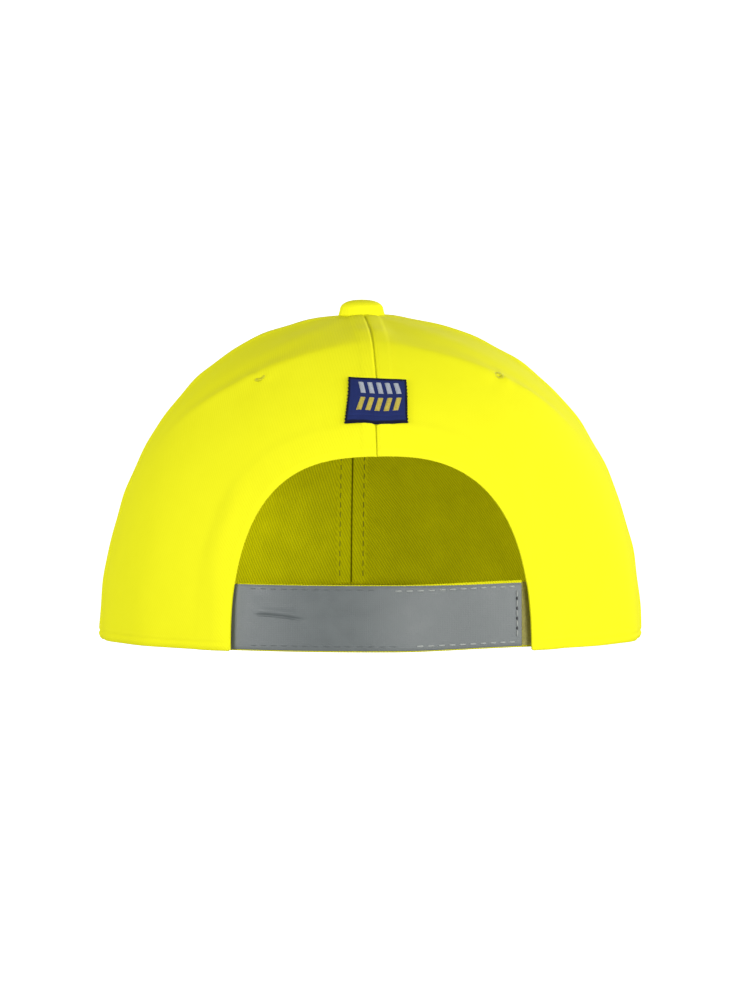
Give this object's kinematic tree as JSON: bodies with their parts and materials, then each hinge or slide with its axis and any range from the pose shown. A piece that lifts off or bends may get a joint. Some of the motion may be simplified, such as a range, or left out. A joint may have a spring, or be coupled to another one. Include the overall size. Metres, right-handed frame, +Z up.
{
  "type": "bump cap",
  "caption": "Hi-vis twill cap with a peaked visor, half-moon rear opening, reflective hook-and-loop closure strap and a removable impact insert inside the crown.",
  "frame": {"origin": "centre of the head opening, in the plane of the rim that the cap stands on", "axes": "+Y towards the back of the head, -Y towards the visor, +X towards the wearer's left, +Z up through the top button"},
  "size_m": [0.1816, 0.268, 0.1133],
  "materials": {
    "hi_vis_twill": "fluorescent yellow polyester-cotton twill",
    "hi_vis_twill_inside": "reverse side of the yellow twill",
    "hi_vis_thread": "yellow embroidery thread",
    "sweatband_cotton": "brushed cotton twill",
    "visor_board_plastic": "sheet polyethylene",
    "button_metal": "pressed and zinc plated",
    "navy_label": "damask woven label",
    "white_satin": "white satin ribbon",
    "reflective_tape": "grey glass-bead reflective tape",
    "hook_tape": "moulded nylon hooks",
    "loop_tape": "brushed nylon loops",
    "shell_plastic": "moulded, fine spark texture",
    "pad_foam": "closed-cell foam faced with jersey"
  },
  "bodies": {
    "crown": {"left_rear_panel": "hi_vis_twill", "right_rear_panel": "hi_vis_twill", "left_front_panel": "hi_vis_twill", "right_front_panel": "hi_vis_twill", "rear_seam_turnings": "hi_vis_twill_inside", "front_seam_turnings": "hi_vis_twill_inside", "left_seam_turnings": "hi_vis_twill_inside", "right_seam_turnings": "hi_vis_twill_inside", "opening_facing": "hi_vis_twill_inside", "sweatband": "sweatband_cotton", "visor_board": "visor_board_plastic", "visor_top_cover": "hi_vis_twill", "visor_under_cover": "hi_vis_twill_inside", "button_shell": "button_metal", "button_cover": "hi_vis_twill", "button_rivet": "button_metal", "vent_eyelets": "hi_vis_thread", "woven_label": "navy_label", "inner_label": "white_satin", "insert_loop_tabs": "loop_tape", "left_strap_anchor": "hi_vis_twill", "right_strap_anchor": "loop_tape"},
    "outer_strap": {"outer_strap_web": "hi_vis_twill", "reflective_tape": "reflective_tape", "hook_patch": "hook_tape"},
    "under_strap": {"under_strap_web": "hi_vis_twill", "loop_patch": "loop_tape"},
    "insert": {"bump_shell": "shell_plastic", "insert_hook_tabs": "hook_tape", "crown_pad": "pad_foam", "front_pad": "pad_foam", "rear_pad": "pad_foam", "left_side_pad": "pad_foam", "right_side_pad": "pad_foam"}
  },
  "joints": [
    {"name": "outer_strap_peel", "type": "hinge", "parent": "crown", "child": "outer_strap", "pos_m": [0.0473, 0.0839, 0.011], "axis": [0, 0, -1], "range_deg": [0, 100]},
    {"name": "under_strap_flex", "type": "hinge", "parent": "crown", "child": "under_strap", "pos_m": [-0.0473, 0.0775, 0.011], "axis": [0, 0, -1], "range_deg": [0, 35]},
    {"name": "insert_pull_out", "type": "slide", "parent": "crown", "child": "insert", "axis": [0, 0, -1], "range_m": [0, 0.12]}
  ]
}
